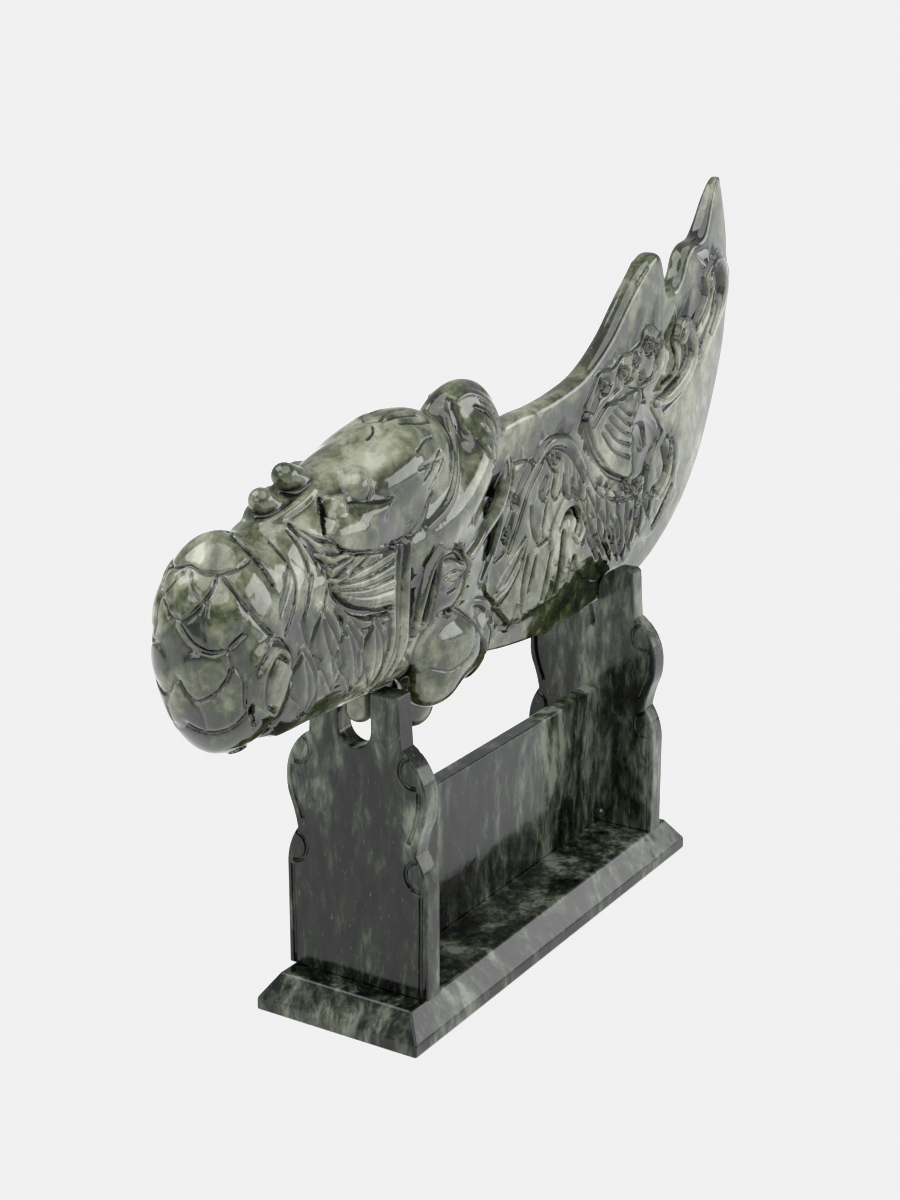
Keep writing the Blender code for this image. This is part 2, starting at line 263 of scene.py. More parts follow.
class Relief:
    """Heights in mm over a plane's grid, built up like a low relief and then cut."""

    def __init__(self, first, second, bold=1.0):
        self.bold = bold
        self.grid = np.meshgrid(first, second, indexing="ij", sparse=True)
        shape = (len(first), len(second))
        self.raised = np.zeros(shape, np.float32)
        self.sunk = np.zeros(shape, np.float32)

    def distance(self, points, widths):
        """Spans around a path, with the distance from it and its own width there."""
        path = smooth_path(points)
        widths = spread(widths, len(path))
        reach = widths.max() * 3 + 2
        low = path.min(0) - reach
        high = path.max(0) + reach
        axes = (self.grid[0][:, 0], self.grid[1][0])
        spans = tuple(span(axis, a, b) for axis, a, b in zip(axes, low, high))
        gap, width = span_distance(self.places(spans), path, widths)
        return spans, gap, width

    def places(self, spans):
        return self.grid[0][spans[0], :], self.grid[1][:, spans[1]]

    def plateau(self, outline, height, soft):
        """A raised field with a closed outline and soft edges."""
        side = outline_distance(self.grid, smooth_path(outline, closed=True))
        self.raised = np.maximum(self.raised, height * smooth_step(0.5 - side / soft))

    def strand(self, points, widths, height, level=0.0):
        """A rounded ridge that stands level + height high along its middle."""
        spans, gap, width = self.distance(points, widths)
        dome = np.sqrt(np.clip(1 - (gap / width) ** 2, 0, 1))
        shape = np.where(gap < width, level + height * dome, 0)
        self.raised[spans] = np.maximum(self.raised[spans], shape)

    def leaf(self, root, tip, width, height, level=0.0, bend=0.0, vein=0.25):
        """A feather or scale from root to tip, laid over what is there, with a vein down its middle."""
        root = np.array(root, float)
        tip = np.array(tip, float)
        along = tip - root
        across = np.array([-along[1], along[0]])
        path = [root, (root + tip) / 2 + across * bend, tip]
        widths = [width * 0.55, width, width * 0.92, width * 0.3]
        spans, gap, local = self.distance(path, widths)
        inside = gap < local
        dome = np.sqrt(np.clip(1 - (gap / local) ** 2, 0, 1))
        x, z = self.places(spans)
        share = ((x - root[0]) * along[0] + (z - root[1]) * along[1]) / (along @ along)
        lift = 0.45 + 0.55 * np.clip(share, 0, 1)
        rise = level + height * dome * lift - vein * np.exp(-(gap / 0.35) ** 2)
        self.raised[spans] = np.where(inside, rise, self.raised[spans])

    def groove(self, points, width, depth):
        """A round cut with soft shoulders."""
        spans, gap, local = self.distance(points, width)
        cut = depth * self.bold * np.exp(-(gap / (local * self.bold)) ** 2)
        self.sunk[spans] = np.maximum(self.sunk[spans], cut)

    def slot(self, points, width, depth):
        """A flat-bottomed channel with steep sides."""
        spans, gap, local = self.distance(points, width)
        cut = depth * self.bold * smooth_step((local - gap) / 0.8 + 0.5)
        self.sunk[spans] = np.maximum(self.sunk[spans], cut)

    def dome(self, centre, size, height, level=0.0, turn=0.0):
        """A smooth swelling with an oval foot."""
        angle = math.radians(turn)
        x = self.grid[0] - centre[0]
        z = self.grid[1] - centre[1]
        u = (x * math.cos(angle) + z * math.sin(angle)) / size[0]
        v = (z * math.cos(angle) - x * math.sin(angle)) / size[1]
        left = 1 - u * u - v * v
        shape = (level + height * np.sqrt(np.clip(left, 0, 1))) * smooth_step(left * 4)
        self.raised = np.maximum(self.raised, shape)

    def curl(self, centre, radius, start, turns, width, depth, tail=None):
        """A spiral groove that winds in to the centre, from an optional tail point."""
        points = [tail] if tail else []
        steps = max(4, int(abs(turns) * 8))
        for step in range(steps + 1):
            share = step / steps
            angle = math.radians(start) + turns * 2 * math.pi * share
            reach = radius * (1 - 0.72 * share)
            points.append((centre[0] + reach * math.cos(angle), centre[1] + reach * math.sin(angle)))
        self.groove(points, width, depth)

    def height(self):
        return self.raised - self.sunk


def outline_distance(grid, path):
    """Signed distance to a closed outline, negative inside."""
    best = None
    inside = np.zeros(np.broadcast(*grid).shape, bool)
    x, z = grid
    for (x0, z0), (x1, z1) in zip(path, path[1:]):
        dx, dz = x1 - x0, z1 - z0
        length2 = dx * dx + dz * dz
        if length2 < 1e-9:
            continue
        t = np.clip(((x - x0) * dx + (z - z0) * dz) / length2, 0, 1)
        gap = (x - x0 - t * dx) ** 2 + (z - z0 - t * dz) ** 2
        best = gap if best is None else np.minimum(best, gap)
        if z0 != z1:
            crossing = ((z0 > z) != (z1 > z)) & (x < x0 + (z - z0) * dx / dz)
            inside ^= crossing
    best = np.sqrt(best)
    return np.where(inside, -best, best)


# ---------------------------------------------------------------------------------------------------
# The sabre
# ---------------------------------------------------------------------------------------------------

SABRE_LOW = (-181, -25, 90)
SABRE_HIGH = (200, 0, 267)
VOXEL = 0.45

BLADE_HALF = 4.3                    # half thickness of the blade at its spine
EDGE_HALF = 1.0                     # and at the cutting edge
THINNEST = 0.9                      # the deepest cuts leave this much on each side
BEVEL_WIDTH = 24.0                  # how wide the bevel along the cutting edge is
BLADE_START = -20                   # where the blade comes out of the head
SABRE_TRIANGLES = 200000
CORE_SQUARENESS = 2.4               # 2 gives the core oval sections, more gives squarer ones
PETAL_STEP = 0.5                    # grid of the petals' plane
PETAL_TURN = (0.528, 0.849)         # sine and cosine of that plane's turn about Z
PETAL_TILT = (0.296, 0.955)         # and of its lean

# How hollows are felt for the painted shade in them: the width in mm of a box round a place, and how
# strongly the share of the box
#  that is stone counts beyond one half.
HOLLOW_SHADE_BOXES = ((2.2, 5.0), (4.0, 4.6), (10.0, 3.2))

# The blade's outline, as runs that meet at its corners: up the spine, over the two spikes, to the tip,
# then back along the cutting edge.
SPINE_RUNS = [
    [(-20, 190), (13, 194), (27, 194.5), (45, 196.5), (64, 201), (82, 211), (96, 223), (108, 233.5),
     (117, 238.6), (122.5, 239), (126, 236), (128.5, 230), (130.5, 223)],
    [(130.5, 223), (138, 223.5), (143.5, 228), (147, 235), (152, 239), (161, 241), (166, 246),
     (172, 256), (177, 262), (181, 263.5), (184, 260)],
]
EDGE_RUN = [
    (184, 260), (188, 250), (191.5, 238), (193, 229), (196.4, 223), (196.6, 215), (194.2, 206),
    (192, 192), (184, 171), (172, 149), (157, 132), (138, 119), (118, 110.5), (96, 107.5),
    (68, 105.5), (40, 104.5), (10, 107), (-20, 112),
]


def make_blade(clay):
    """The blade: flat sides with the phoenix on them, and a long bevel down to the cutting edge."""
    x_axis, _, z_axis = clay.axes
    relief = Relief(x_axis, z_axis, 1.5)
    carve_phoenix(relief)
    outline = np.vstack([smooth_path(run) for run in SPINE_RUNS + [EDGE_RUN]])
    outline = np.vstack([outline, outline[:1]])
    side = outline_distance(relief.grid, outline)
    edge = smooth_path(EDGE_RUN)
    edge_gap, _ = span_distance(relief.grid, edge, [0.0] * len(edge))
    rise = np.clip(edge_gap / BEVEL_WIDTH, 0, 1)
    half = EDGE_HALF + (BLADE_HALF - EDGE_HALF) * rise ** 0.8
    inner = smooth_step(-side / 2.0)
    half = np.maximum(half + relief.height() * inner, THINNEST)
    first = int(np.searchsorted(x_axis, BLADE_START))
    _, y, _ = np.meshgrid(*clay.axes, indexing="ij", sparse=True)
    body = np.abs(y) - half[first:, None, :]
    rounding = (1.2 + 2.6 * rise)[first:, None, :]
    blade = smooth_max(body, np.broadcast_to(side[first:, None, :], body.shape), rounding)
    clay.field[first:] = np.minimum(clay.field[first:], np.minimum(blade, Clay.FAR))


def carve_phoenix(relief):
    """The bird on the blade: wing, body, tail and the cloud scrolls towards the tip."""
    # The bird's body and its long feathers, down to the scalloped border above the bevel.
    relief.plateau([(-20, 152), (-8, 164), (6, 177), (22, 176), (27, 179), (35, 182), (48, 180), (58, 172),
                    (65, 162), (72, 154), (88, 146.5), (102, 145), (112, 148), (118, 160), (126, 169),
                    (131, 162), (139, 161.5), (144.5, 153), (141, 144), (144.5, 137), (134, 131), (120, 124),
                    (108, 125), (98, 117), (87, 118), (73, 117), (60, 124), (53, 131), (46, 121), (37, 119),
                    (24, 118), (8, 116), (-4, 121), (-20, 126)], 1.5, 1.2)
    # Ground between the feathers and the shell, and the shell itself.
    relief.plateau([(62, 183), (70, 169), (82, 159.5), (98, 153.5), (102, 160), (101, 172), (104, 187),
                    (90, 186), (75, 186)], 1.5, 1.1)
    for arc_points in ([(74.5, 176), (84, 167.5), (98, 162)], [(77, 178.5), (87, 171), (98, 167)],
                       [(80, 181), (90, 174.5), (98, 171)], [(84, 183), (92, 178), (98, 175)],
                       [(88, 184.5), (94, 181), (98, 179)]):
        relief.groove(arc_points, 0.55, 0.9)
    relief.slot([(61, 183), (66, 175), (71, 168), (82, 158.5), (90, 155), (97, 152.5)], [0.9, 1.3, 1.0], 0.9)
    relief.slot([(100, 172), (101, 163), (101, 154)], [0.7, 1.3, 0.8], 2.0)
    relief.groove([(67, 180), (76, 186), (88, 190.5), (99, 193)], 0.6, 1.1)
    relief.strand([(63, 184), (74, 188), (88, 193.5), (102, 197.5)], [1.6, 2.6, 2.8, 2.0], 0.9, 1.0)
    relief.strand([(101, 178), (104.5, 184), (104, 190)], [1.0, 2.2, 1.0], 0.9, 1.2)

    # Neck and body against the mane.
    relief.slot([(6, 179), (1, 164), (-10, 161), (-17, 155), (-19.5, 145), (-16, 135), (-7, 127), (0, 119)],
                [1.2, 1.6, 2.2, 2.8, 2.8, 2.6, 2.2, 1.4], 3.0)
    relief.strand([(5, 168), (-4, 161), (-11, 153), (-14, 144), (-13, 134)], [1.2, 1.5, 1.4, 1.2, 0.8],
                  0.9, 1.3)
    relief.leaf((-8, 130), (15, 148), 4.2, 1.0, 1.6, -0.06, 0.3)
    relief.groove([(-7, 132.5), (2, 136.5), (12, 145)], 0.35, 0.6)
    relief.groove([(-5, 130.5), (4, 134), (13, 142)], 0.35, 0.6)
    relief.slot([(16, 147), (12, 137), (1, 128), (-7, 126)], [0.4, 0.7, 0.9, 0.7], 1.2)
    relief.strand([(24, 175), (15, 168), (8, 158), (2, 149)], [1.5, 1.9, 1.9, 1.2], 0.9, 1.4)
    relief.groove([(27, 174), (18, 166), (11, 156), (4, 146)], 0.7, 1.2)
    relief.groove([(19, 175.5), (11, 168.5), (5, 160), (-1, 152)], 0.6, 1.1)
    relief.curl((7.5, 163), 2.6, 60, 1.0, 0.6, 1.2)
    relief.curl((2, 152), 2.8, 120, 1.0, 0.6, 1.3)
    relief.groove([(-12, 149), (-6, 145), (0, 146.5)], 0.5, 0.7)

    # Claws at the lower left, with a rough pad.
    relief.slot([(-5, 127), (1, 121), (8, 115.5), (12, 117)], [1.0, 1.6, 1.8, 1.0], 1.7)
    relief.dome((12.5, 120.5), (3.4, 5.0), 0.9, 1.5, 15)
    for step in range(5):
        relief.groove([(10 + step * 1.2, 117.5 + step * 0.4), (11 + step * 1.2, 123 + step * 0.4)],
                      0.3, 0.45)
    relief.groove([(18, 141), (14, 131), (15, 124)], 0.45, 0.8)
    relief.groove([(24, 139), (20, 131), (19, 127)], 0.5, 0.8)

    # The wing: a smooth shoulder, two rows of round coverts and a row of long quills.
    relief.strand([(24, 174.5), (29, 178), (36, 180), (47, 178), (56, 170.5), (62, 161.5)],
                  [1.4, 1.8, 2.0, 1.9, 1.7, 1.2], 0.8, 1.4)
    relief.groove([(27, 175), (35, 177.5), (45, 175.5), (53, 168.5), (60, 160)], 0.5, 0.9)
    relief.curl((38, 174), 3.4, 100, 0.9, 0.6, 1.2)
    relief.slot([(31, 175), (34, 171), (38, 168)], [0.6, 0.9, 0.5], 1.0)
    coverts = (((34, 172), (29, 160)), ((41, 172), (38, 158.5)), ((47, 170), (47, 157)),
               ((53, 167), (53, 155)), ((59, 163), (60, 152)))
    for root, tip in coverts:
        relief.leaf(root, tip, 3.7, 0.9, 1.3, 0.04, 0.25)
    for root, tip in coverts:
        relief.groove([(root[0] - 3.4, root[1] - 4), (tip[0] - 3.2, tip[1] + 3), (tip[0], tip[1] - 0.6),
                       (tip[0] + 3.2, tip[1] + 2.4)], 0.45, 0.9)
    relief.leaf((30, 157), (23, 144), 4.6, 0.8, 1.3, 0.03, 0.2)
    relief.groove([(19.5, 159), (20.5, 151), (25, 143.5), (32, 144)], 0.45, 0.9)
    relief.groove([(31, 158), (28, 150), (29, 145)], 0.4, 0.6)

    # The hooked crest in the middle and the deep cuts under it.
    relief.strand([(34, 140), (37, 149), (45, 156), (52, 156), (58, 150), (60, 143), (56, 138), (52, 141)],
                  [1.2, 1.8, 2.0, 2.2, 2.2, 2.0, 1.5, 0.9], 1.1, 1.5)
    relief.slot([(42, 145), (47, 150), (53, 150), (56.5, 145.5), (54, 142)], [0.7, 1.3, 1.5, 1.4, 0.8], 1.9)
    relief.groove([(51, 158.5), (58, 153.5), (63, 145), (60, 136)], 0.8, 1.4)
    relief.slot([(44.5, 143), (43, 133), (39.5, 121)], [1.5, 1.9, 1.3], 2.2)
    relief.slot([(53, 131), (49.5, 124.5)], [1.6, 1.2], 1.6)
    relief.dome((46, 126.5), (3.6, 3.0), 1.1, 1.3)
    for step in range(5):
        relief.groove([(43.5 + step * 1.3, 124), (44 + step * 1.3, 129)], 0.3, 0.5)
    relief.groove([(36, 140), (32, 130), (30, 121)], 0.5, 0.9)

    # Long tail feathers: narrow lancets that overlap and cross.
    feathers = (((60, 160), (70, 131)), ((67, 155), (76, 127)), ((75, 152), (83, 123)),
                ((83, 149), (90, 121)), ((92, 147), (95, 120)), ((101, 147), (100, 123)),
                ((110, 149), (107, 128)), ((118, 154), (115, 133)))
    for root, tip in feathers:
        relief.leaf(root, tip, 5.2, 0.6, 1.2, 0.07, 0.0)
    for number, (root, tip) in enumerate(feathers):
        lean = (number % 3) - 1
        relief.groove([(root[0] - 4.0, root[1] + 1),
                       ((root[0] + tip[0]) / 2 - 5, (root[1] + tip[1]) / 2 - 1),
                       (tip[0] - 1.6, tip[1] + 4), (tip[0] + 0.8, tip[1])], [0.6, 0.7, 0.3], 1.1)
        relief.groove([(root[0] + 4.5, root[1] - 9 - 4 * lean), (tip[0] + 2.5, tip[1] + 11),
                       (tip[0] - 0.5, tip[1] + 2)], [0.35, 0.55, 0.25], 0.9)
        if lean != 0:
            relief.groove([(root[0] - 1.0, root[1] - 7), (tip[0] - 1.5, tip[1] + 13)], [0.45, 0.3], 0.7)
    relief.groove([(112, 146), (104, 134), (101, 127)], 0.5, 1.1)
    relief.groove([(58, 152), (63, 139), (72, 127)], 0.6, 1.3)
    relief.groove([(62, 165), (71, 154.5), (80, 149.5), (88, 146.8), (102, 145.2), (110, 147.5)], 0.6, 1.0)
    relief.curl((99, 148.5), 3.4, 90, 1.0, 0.7, 1.2)
    relief.slot([(99, 154), (97, 148.5)], [0.9, 1.1], 1.5)

    # Looped strand behind the feathers, and the plain lobes at the bevel.
    relief.strand([(129, 162), (133, 155), (131, 147), (124, 141.5), (116, 142)], [2.2, 2.3, 2.2, 1.9, 1.2],
                  1.0, 1.5)
    relief.groove([(126.5, 160), (129.5, 153), (127, 147), (121, 144)], 0.7, 1.5)
    relief.groove([(134, 163), (137, 154), (135, 146), (127, 140)], 0.6, 1.2)
    relief.dome((133.5, 158), (3.6, 4.4), 0.9, 1.9, 20)
    for step in range(4):
        relief.groove([(131 + step * 1.5, 155.5), (132 + step * 1.5, 161)], 0.35, 0.7)
    relief.slot([(137, 142), (129, 134), (121, 128)], [1.2, 1.7, 1.0], 1.4)
    relief.groove([(118, 178), (126, 169), (120, 162), (115, 157)], 0.45, 0.8)
    relief.dome((109, 163), (2.0, 1.4), 0.5, 0.9)

    # Clouds above the shell.
    cloud = [(61, 187), (66, 194), (72, 199.5), (83, 199.5), (90, 203), (98, 203.5), (106, 206), (109, 211),
             (118, 210.5), (126, 204), (128, 195), (119, 189), (105, 188), (92, 191), (76, 186)]
    relief.plateau(cloud, 1.1, 1.2)
    for centre, radius, start, turns, tail in (
            ((76, 195), 3.8, 200, 1.2, (66, 186)), ((92, 196.5), 4.2, 150, 1.25, (82, 189)),
            ((103, 199.5), 3.0, 120, 1.1, (97, 193)), ((114, 204), 4.6, 140, 1.3, (106, 203)),
            ((122.5, 203), 3.4, 60, 1.1, (120, 194)), ((106, 192.5), 3.4, 250, 1.0, (114, 190))):
        relief.dome(centre, (radius * 1.05, radius), 1.0, 1.1)
        relief.curl(centre, radius, start, turns, 0.6, 1.3, tail)
    relief.slot([(118, 203), (120, 196), (116, 191)], [0.8, 1.2, 0.7], 1.6)
    relief.slot([(72, 196.5), (70, 190)], [0.9, 0.5], 1.2)

    # Tail flame and the curl that wraps the edge near the tip.
    relief.strand([(122, 179), (133, 180), (146, 184.5), (153.5, 191), (154.5, 200), (148, 207.5),
                   (141, 208), (137.5, 203)], [1.6, 2.8, 3.4, 3.4, 3.0, 2.8, 2.2, 1.2], 1.4, 0.9)
    relief.dome((144.5, 203.5), (3.0, 4.4), 1.5, 1.0, -25)
    relief.slot([(138, 208), (135.5, 202), (140, 195), (138, 189), (127, 186)], [0.8, 1.4, 1.5, 1.6, 0.8],
                1.6)
    relief.slot([(147.5, 199.5), (149, 194), (145, 189.5)], [0.5, 0.9, 0.6], 1.6)
    relief.groove([(151, 206.5), (157.8, 199), (157, 189), (147, 181), (130, 175)], 0.7, 0.9)
    relief.groove([(130, 182.5), (141, 186.5), (147.5, 192)], 0.45, 0.9)
    relief.strand([(157, 190), (168, 199), (179, 209), (184, 216), (182.5, 225), (175, 230), (169, 229)],
                  [1.2, 2.8, 3.8, 4.4, 4.4, 3.0, 1.6], 1.9, 0.9)
    relief.strand([(155, 207), (161, 212), (165, 217), (163.5, 224), (169, 230)], [1.0, 1.7, 1.9, 1.9, 1.2],
                  1.1, 0.9)
    relief.dome((166.5, 222.5), (2.6, 3.6), 1.6, 1.2, -15)
    relief.slot([(157.5, 203), (164, 210), (170, 217), (172, 224)], [0.7, 1.5, 1.8, 1.0], 1.9)
    relief.groove([(168, 201), (177, 211), (180, 220), (176, 227)], 0.6, 1.1)
    relief.groove([(161, 196), (172, 207), (175.5, 216)], 0.45, 0.8)
    relief.curl((172.5, 227), 2.2, 0, 1.0, 0.6, 1.1)

    # Ridges that follow the back of the two spikes.
    relief.groove([(112, 234.5), (100, 226.5), (84, 214.5), (68, 204.5)], [0.5, 0.6, 0.4], 0.8)
    relief.strand([(114, 236.5), (106, 232.5), (93, 223), (79, 213), (64, 204.5)],
                  [0.6, 1.0, 1.1, 0.9, 0.5], 0.7)


def carve_face(relief):
    """The side of the dragon's face, its grip of leaves and the jaw, seen square from the side."""
    # Cheek and lip line, with the crease that parts the mouth from the grip.
    relief.slot([(-132, 187), (-128.5, 181), (-125, 175.5), (-122.5, 170), (-120, 160), (-116, 150)],
                [0.9, 1.5, 1.6, 1.1, 0.8, 0.5], 1.7)
    relief.groove([(-120, 181.5), (-116, 177), (-107, 174), (-92, 172.2), (-82, 173.4), (-73, 177),
                   (-65, 184)], [0.7, 0.9, 0.8, 0.6], 1.5)
    relief.slot([(-116.5, 191.5), (-118.5, 187.5), (-121, 183)], [0.9, 1.8, 1.0], 2.4)
    relief.groove([(-130, 186), (-124, 181.5), (-119, 180)], 0.8, 1.2)
    relief.strand([(-125, 177), (-120, 174.5), (-114, 175.5)], [0.8, 1.4, 0.6], 0.8, 0.5)

    # Fan of ribs that spreads back from the mouth corner.
    relief.plateau([(-124, 170), (-116, 173), (-106, 173.5), (-91, 172), (-91.5, 153), (-104, 155),
                    (-116, 160)], 1.0, 1.4)
    for end, root in (((-92, 170), (-122, 168.5)), ((-92, 165.5), (-121, 166.5)),
                      ((-92.5, 161), (-120, 164.5)), ((-93, 157), (-119, 163))):
        middle = ((root[0] + end[0]) / 2, (root[1] + end[1]) / 2 - 1.5)
        relief.strand([root, middle, end], [0.6, 1.5, 1.9], 0.9, 1.0)
    relief.slot([(-122, 165), (-116, 158.5), (-105, 153.8), (-93, 152.5)], [0.6, 1.3, 1.5, 1.1], 1.9)
    relief.groove([(-121, 169), (-113, 171.5), (-109, 174)], 0.7, 1.3)
    relief.groove([(-118, 167), (-110, 169.5), (-104, 173.5)], 0.5, 1.0)
    relief.strand([(-121, 162), (-116, 155.5), (-107, 151), (-95, 149.5)], [0.8, 1.5, 1.6, 1.0], 0.9, 0.3)

    # Upright ridge behind the fan, and a second one.
    relief.strand([(-89, 173), (-91.5, 163), (-92, 152), (-91, 141), (-93, 131), (-98, 124)],
                  [0.8, 1.1, 1.0, 1.1, 0.8], 1.0, 0.5)
    relief.groove([(-86.5, 171), (-89, 160), (-88.5, 148), (-88, 136), (-91, 127)], [1.0, 1.5, 1.1, 0.7],
                  1.1)
    relief.strand([(-82, 172), (-84, 160), (-84.5, 148), (-83.5, 136), (-87, 127)],
                  [1.2, 2.2, 2.3, 2.2, 1.0], 1.1, 0.2)

    # Leaves of the grip: upright pointed scales between the pommel and the fan.
    leaves = (((-115, 152), (-109, 128), 6.0), ((-101, 149.5), (-98, 126), 5.2),
              ((-128, 160), (-122, 133), 6.4), ((-139, 150), (-134, 127), 5.6))
    for root, tip, width in leaves:
        relief.leaf(root, tip, width, 0.7, 0.2, 0.03, 0.2)
    for root, tip, width in leaves:
        for side in (-1, 1):
            relief.groove([(root[0], root[1] + 1.5),
                           (root[0] + side * (width + 0.3), (root[1] * 2 + tip[1]) / 3),
                           (tip[0] + side * width * 0.75, (root[1] + tip[1] * 3) / 4), tip], 0.75, 1.15)
        relief.groove([(root[0], root[1] - 2), (tip[0], tip[1] + 5)], 0.5, 0.5)
    relief.groove([(-140, 177), (-145, 171), (-150, 166), (-153, 161)], 0.9, 1.5)
    relief.groove([(-130, 172), (-138, 161), (-136, 152), (-130, 146)], 0.8, 1.4)
    relief.groove([(-134, 186), (-131, 176), (-133, 168), (-139, 160)], 0.7, 1.2)
    relief.groove([(-142, 184), (-139, 174), (-142, 166), (-148, 159)], 0.7, 1.2)
    relief.groove([(-124, 166), (-128, 158), (-125, 148), (-119, 142)], 0.6, 1.2)
    relief.groove([(-108, 149), (-110, 140), (-106, 131)], 0.5, 0.8)

    # Temple wrinkles: a leaf shape, and strokes that follow the hood line.
    relief.groove([(-73, 199), (-66, 201), (-60, 201)], 0.6, 1.0)
    relief.groove([(-75, 194), (-68, 194.5), (-59, 193.5)], 0.6, 1.0)
    relief.groove([(-74, 189), (-67, 192.5), (-58, 196.5)], 0.6, 1.0)
    relief.groove([(-68, 186), (-62, 189.5), (-56, 194)], 0.55, 0.9)

    # Leaf under the mane band, with its rim and dark slot.
    relief.plateau([(-68, 165), (-58, 163.5), (-51, 160), (-49, 151), (-53, 145), (-62, 142), (-72, 139.5),
                    (-79, 142), (-77, 153)], 1.2, 1.3)
    relief.strand([(-66, 166), (-72, 159), (-77, 148), (-79, 140)], [1.0, 1.5, 1.5, 1.0], 1.0, 1.2)
    relief.strand([(-65, 165), (-67, 154), (-70, 141)], [0.8, 1.2, 0.8], 0.9, 1.2)
    relief.slot([(-68.5, 160), (-71.5, 152), (-74, 143)], [0.7, 1.7, 1.0], 3.0)
    relief.groove([(-65, 158), (-66.5, 149), (-68.5, 142)], 0.5, 1.2)
    relief.slot([(-62, 161.5), (-56, 161), (-52, 158)], [0.9, 1.3, 0.6], 1.6)
    relief.slot([(-60, 149.5), (-55, 150.5), (-51.5, 153)], [0.7, 1.2, 0.6], 1.4)
    relief.groove([(-63, 155), (-57, 156), (-52, 155)], 0.6, 1.0)
    relief.strand([(-51, 163), (-47.5, 155), (-50, 146), (-58, 140.5)], [0.8, 1.3, 1.2, 0.8], 0.9, 1.0)


def carve_jaw(relief):
    """The crease over the jaw and the line that curls round its bulb."""
    relief.slot([(-66, 143), (-56, 142.5), (-44, 136), (-34, 126), (-27, 115)], [0.5, 0.7, 0.6, 0.4], 1.1)
    relief.groove([(-70, 141), (-74, 133), (-72, 125)], [0.9, 1.2, 0.8], 1.4)
    relief.groove([(-80, 133), (-72, 126), (-70, 119)], 0.7, 1.0)
    relief.groove([(-66, 124), (-56, 121), (-46, 124), (-40, 131)], [0.4, 0.6, 0.4], 0.6)


def carve_scroll(relief):
    """The rolled crest behind the forehead: a rim, a sunk strip and an inner swirl."""
    relief.strand([(-34, 207.5), (-24, 209), (-14, 205), (-5, 197), (-1, 187), (-2, 179)],
                  [0.9, 1.3, 1.4, 1.3, 1.2, 0.6], 0.6)
    relief.slot([(-34, 207.5), (-34.5, 202), (-33.5, 196)], [1.2, 1.7, 1.2], 1.1)
    relief.slot([(-23, 204), (-17, 200.5), (-12, 195), (-10, 189.5)], [0.6, 1.3, 1.2, 0.5], 1.3)
    relief.groove([(-12, 185), (-19, 184), (-26.5, 188), (-30, 194)], [0.7, 0.9, 0.7], 1.1)
    relief.groove([(-7, 184), (-15, 180.5), (-26, 183.5)], [0.5, 0.7, 0.5], 0.7)
    relief.groove([(-24, 198), (-20, 193), (-17, 190)], 0.4, 0.6)


def carve_brow(relief):
    """Wrinkles that fan back over the crown, seen from above."""
    for side in (-1, 1):
        relief.groove([(-75, 4 * side), (-68, 5.5 * side), (-59, 6.5 * side)], 0.6, 1.1)
        relief.groove([(-71, 8 * side), (-63, 9.5 * side), (-55, 9 * side)], 0.55, 1.0)
        relief.groove([(-79, 3 * side), (-82, 5 * side), (-86, 5.5 * side)], 0.5, 0.8)
        relief.groove([(-78, 0.6 * side), (-75, 3 * side), (-68, 1.8 * side), (-60, 2.2 * side)], 0.5, 0.9)


def carve_pommel(relief):
    """Overlapping petals on the pommel's end, seen square from outside: across from its middle, and up."""
    relief.groove([(14, 38), (19, 33), (22.2, 29.8), (25, 26), (27.4, 22)], [0.7, 0.9, 0.8], 1.4)
    relief.groove([(0, 33), (5.2, 27.5), (11.7, 25), (18, 26.5), (22, 30)], 0.75, 1.2)
    relief.groove([(0, 14), (3, 12), (10.1, 18.6), (13, 25)], 0.8, 1.4)
    relief.groove([(1.7, 10.8), (5.1, 5.7), (10, 2.8), (15, 3.5), (20, 8)], 0.8, 1.4)
    relief.groove([(13.5, 25), (17, 20.5), (21, 15), (27, 8)], 0.8, 1.3)
    relief.groove([(0, -4), (4.2, -10.7), (9, -11), (14, -7), (16.4, -1), (15.5, 4)], 0.75, 1.3)
    relief.groove([(0, -17), (6, -20.5), (12, -21), (18, -17.7), (22, -12)], 0.75, 1.2)
    relief.groove([(10, 18), (9, 11), (10, 4)], 0.6, 0.8)
    relief.groove([(4, -11), (7, -15), (8, -20)], 0.6, 0.9)
    relief.groove([(17, -1), (20, -7), (19, -15)], 0.7, 1.1)
    relief.groove([(5, 27), (5.5, 21), (8, 17)], 0.55, 0.8)
    relief.groove([(0, -28), (9, -29), (18, -26), (26, -22)], 0.7, 1.0)
    relief.dome((7, 20), (6, 5), 0.6)
    relief.dome((14, 13), (7, 7), 0.7)
    relief.dome((8, -3), (7, 6), 0.7)
    relief.dome((19, 22), (5, 6), 0.5)


def carve_volute(relief):
    """The rolled end of the grip's underside, on the flank of the pommel."""
    relief.plateau([(-164, 157), (-156, 160), (-149, 155), (-145.5, 145), (-147, 136), (-152, 132.5),
                    (-160, 138), (-165, 147)], 1.6, 3.0)
    relief.slot([(-148, 130), (-145, 143), (-148, 154), (-156, 159), (-163.5, 153), (-164.5, 144),
                 (-160, 134)], [0.8, 1.0, 1.1, 1.2, 1.2, 0.8], 1.4)
    relief.groove([(-151, 152), (-156, 154.5), (-160, 149), (-159.5, 141), (-155, 137)], [0.6, 0.9, 0.7],
                  1.1)


